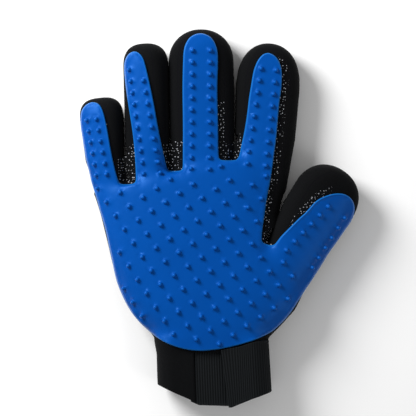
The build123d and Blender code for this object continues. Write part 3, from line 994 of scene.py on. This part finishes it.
def rubber_material():
    """Moulded blue rubber, with painted highlights: lighter towards the nubs' tips and along the thin rim.
    """
    material, nodes, links, shader = tree_of("blue_rubber")
    place = nodes.new("ShaderNodeTexCoord").outputs["Object"]
    cloud = node(nodes, "ShaderNodeTexNoise", Scale=38.0, Detail=3.0)
    grain = node(nodes, "ShaderNodeTexNoise", Scale=2600.0, Detail=2.0)
    soft = node(nodes, "ShaderNodeTexNoise", Scale=420.0, Detail=3.0)
    for texture in (cloud, grain, soft):
        links.new(place, texture.inputs["Vector"])
    body = mix_colours(
        nodes, links, cloud.outputs["Fac"], (0.0002, 0.051, 0.268, 1), (0.0005, 0.064, 0.325, 1)
    )
    # painted highlight: the blue turns lighter towards each nub's tip
    tip = math_node(nodes, links, "MULTIPLY", attribute(nodes, "tip"), 0.35)
    body = mix_colours(nodes, links, tip, body, (0.004, 0.10, 0.42, 1))
    # painted highlight: lighter blue along the pad's thin rim
    rim = math_node(nodes, links, "MULTIPLY", attribute(nodes, "rim"), 0.6)
    body = mix_colours(nodes, links, rim, body, (0.014, 0.20, 0.56, 1))
    links.new(body, shader.inputs["Base Color"])
    rough = math_node(nodes, links, "MULTIPLY_ADD", soft.outputs["Fac"], 0.16, 0.30)
    links.new(rough, shader.inputs["Roughness"])
    shader.inputs["Specular IOR Level"].default_value = 0.3
    shader.inputs["Specular Tint"].default_value = (0.12, 0.42, 1.0, 1)
    bump = node(nodes, "ShaderNodeBump", Strength=0.25, Distance=0.00012)
    height = math_node(nodes, links, "MULTIPLY_ADD", grain.outputs["Fac"], 0.4, soft.outputs["Fac"])
    links.new(height, bump.inputs["Height"])
    links.new(bump.outputs[0], shader.inputs["Normal"])
    return material


def cloth_material():
    """Black knit, with painted glints in some of the net's holes beside the rubber and a dark groove along
    the seams.
    """
    material, nodes, links, shader = tree_of("black_cloth")
    place = nodes.new("ShaderNodeTexCoord").outputs["Object"]
    cells = node(nodes, "ShaderNodeTexVoronoi", Scale=560.0, Randomness=0.62)
    cells.feature = "F1"
    cells.voronoi_dimensions = "2D"
    glint_chance = node(nodes, "ShaderNodeTexNoise", Scale=700.0, Detail=1.0)
    knit = node(nodes, "ShaderNodeTexWave", Scale=560.0, Distortion=2.5, Detail=1.0)
    fuzz = node(nodes, "ShaderNodeTexNoise", Scale=1500.0, Detail=3.0)
    for texture in (cells, glint_chance, knit, fuzz):
        links.new(place, texture.inputs["Vector"])
    net = math_node(nodes, links, "GREATER_THAN", attribute(nodes, "net"), 0.0)
    hole = math_node(nodes, links, "LESS_THAN", cells.outputs["Distance"], 0.2)
    # painted glints: some of the net's holes, picked by noise, get a light grey standing in for light
    # caught in the net
    lit = math_node(nodes, links, "GREATER_THAN", glint_chance.outputs["Fac"], 0.52)
    hole = math_node(nodes, links, "MULTIPLY", hole, net)
    painted_glint = math_node(nodes, links, "MULTIPLY", hole, lit)
    black = mix_colours(
        nodes, links, fuzz.outputs["Fac"], (0.0010, 0.0011, 0.0014, 1), (0.0036, 0.0039, 0.0046, 1)
    )
    black = mix_colours(nodes, links, painted_glint, black, (0.30, 0.31, 0.33, 1))
    seam = math_node(nodes, links, "ABSOLUTE", attribute(nodes, "seam"))
    stitch = math_node(nodes, links, "LESS_THAN", seam, 0.35)
    black = mix_colours(nodes, links, stitch, black, (0.002, 0.002, 0.003, 1))
    links.new(black, shader.inputs["Base Color"])
    shader.inputs["Roughness"].default_value = 0.82
    shader.inputs["Sheen Weight"].default_value = 0.015
    shader.inputs["Specular IOR Level"].default_value = 0.06
    relief = math_node(nodes, links, "MULTIPLY_ADD", knit.outputs["Fac"], 0.5, fuzz.outputs["Fac"])
    holes = math_node(nodes, links, "SMOOTH_MIN", cells.outputs["Distance"], 0.4, 0.1)
    holes = math_node(nodes, links, "MULTIPLY", holes, 3.0)
    holes = math_node(nodes, links, "MULTIPLY", holes, net)
    relief = math_node(nodes, links, "ADD", relief, holes)
    groove = math_node(nodes, links, "MULTIPLY", stitch, -1.5)
    relief = math_node(nodes, links, "ADD", relief, groove)
    bump = node(nodes, "ShaderNodeBump", Strength=0.5, Distance=0.0003)
    links.new(relief, bump.inputs["Height"])
    links.new(bump.outputs[0], shader.inputs["Normal"])
    return material


def ribbed_material():
    """Ribbed black elastic and webbing, with painted shade in the grooves and painted light on the ridges.
    """
    material, nodes, links, shader = tree_of("black_ribbed")
    place = nodes.new("ShaderNodeTexCoord").outputs["Object"]
    fuzz = node(nodes, "ShaderNodeTexNoise", Scale=1300.0, Detail=3.0)
    weave = node(nodes, "ShaderNodeTexWave", Scale=900.0, Distortion=1.0)
    weave.bands_direction = "Y"
    for texture in (fuzz, weave):
        links.new(place, texture.inputs["Vector"])
    # painted shade and light: darker in the rib grooves, lighter on the ridges
    black = mix_colours(
        nodes, links, attribute(nodes, "rib"), (0.0022, 0.0026, 0.003, 1), (0.0085, 0.0105, 0.012, 1)
    )
    fleck = math_node(nodes, links, "MULTIPLY", fuzz.outputs["Fac"], 0.5)
    black = mix_colours(nodes, links, fleck, black, (0.004, 0.005, 0.006, 1))
    links.new(black, shader.inputs["Base Color"])
    shader.inputs["Roughness"].default_value = 0.75
    shader.inputs["Sheen Weight"].default_value = 0.015
    shader.inputs["Specular IOR Level"].default_value = 0.08
    relief = math_node(nodes, links, "ADD", weave.outputs["Fac"], fuzz.outputs["Fac"])
    bump = node(nodes, "ShaderNodeBump", Strength=0.4, Distance=0.0002)
    links.new(relief, bump.inputs["Height"])
    links.new(bump.outputs[0], shader.inputs["Normal"])
    return material


def plain_material(name, dark, light, scale, rough):
    """A fuzzy material between two colours."""
    material, nodes, links, shader = tree_of(name)
    place = nodes.new("ShaderNodeTexCoord").outputs["Object"]
    fuzz = node(nodes, "ShaderNodeTexNoise", Scale=scale, Detail=4.0)
    links.new(place, fuzz.inputs["Vector"])
    links.new(mix_colours(nodes, links, fuzz.outputs["Fac"], dark, light), shader.inputs["Base Color"])
    shader.inputs["Roughness"].default_value = rough
    bump = node(nodes, "ShaderNodeBump", Strength=0.6, Distance=0.0003)
    links.new(fuzz.outputs["Fac"], bump.inputs["Height"])
    links.new(bump.outputs[0], shader.inputs["Normal"])
    return material


blue, black, ribbed = rubber_material(), cloth_material(), ribbed_material()
pile = plain_material("black_pile", (0.003, 0.003, 0.004, 1), (0.012, 0.012, 0.014, 1), 2200.0, 0.9)


def dress(obj, material):
    """Gives a piece its material."""
    obj.data.materials.clear()
    obj.data.materials.append(material)


for obj in rubber.values():
    dress(obj, blue)
for name, obj in cloth.items():
    dress(obj, black)
for obj, slot in ((insert, "black_elastic"), (strap, "black_webbing"), (anchor, "black_webbing")):
    dress(obj, ribbed)
for obj in (band, hem, lining):
    dress(obj, black)
for name in ("loop_patch", "strap_hook_patch"):
    mesh = frame["nodes"][name].data
    for k in range(len(mesh.materials)):
        mesh.materials[k] = pile

# Studio
bpy.ops.mesh.primitive_plane_add(size=6.0, location=(0, 0, -0.0002))
floor = bpy.context.object
floor.name = "floor"
floor_paint, _, _, shader = tree_of("floor_paint")
shader.inputs["Base Color"].default_value = (0.92, 0.92, 0.92, 1)
shader.inputs["Roughness"].default_value = 0.9
floor.data.materials.append(floor_paint)
world = bpy.data.worlds.new("studio")
bpy.context.scene.world = world
world.use_nodes = True
world.node_tree.nodes["Background"].inputs["Color"].default_value = (1, 1, 1, 1)
world.node_tree.nodes["Background"].inputs["Strength"].default_value = 0.42


def soft_light(name, place, size, power):
    """A round soft light that looks at the frame's origin."""
    data = bpy.data.lights.new(name, "AREA")
    data.shape, data.size, data.energy = "DISK", size, power
    obj = bpy.data.objects.new(name, data)
    obj.location = place
    obj.rotation_euler = (-Vector(place)).to_track_quat("-Z", "Y").to_euler()
    bpy.context.scene.collection.objects.link(obj)
    return obj


key = soft_light("key_light", (-0.5, 0.45, 0.44), 0.4, 9.5)
fill = soft_light("fill_light", (0.9, -0.5, 0.8), 0.5, 2)
# The camera looks straight down from far away, and its picture is PICTURE wide at the rubber's height
LENS, SENSOR, PICTURE, RUBBER_HEIGHT = 200, 36, 0.26, 0.024
data = bpy.data.cameras.new("camera")
data.lens, data.sensor_width = LENS, SENSOR
camera = bpy.data.objects.new("camera", data)
middle = Vector((-7.2, 5.9, 0)) * MM
camera.location = middle + Vector((0, 0, RUBBER_HEIGHT + PICTURE * LENS / SENSOR))
camera.rotation_euler = (0, 0, 0)
bpy.context.scene.collection.objects.link(camera)
bpy.context.scene.camera = camera
bpy.context.scene.view_settings.view_transform = "Standard"
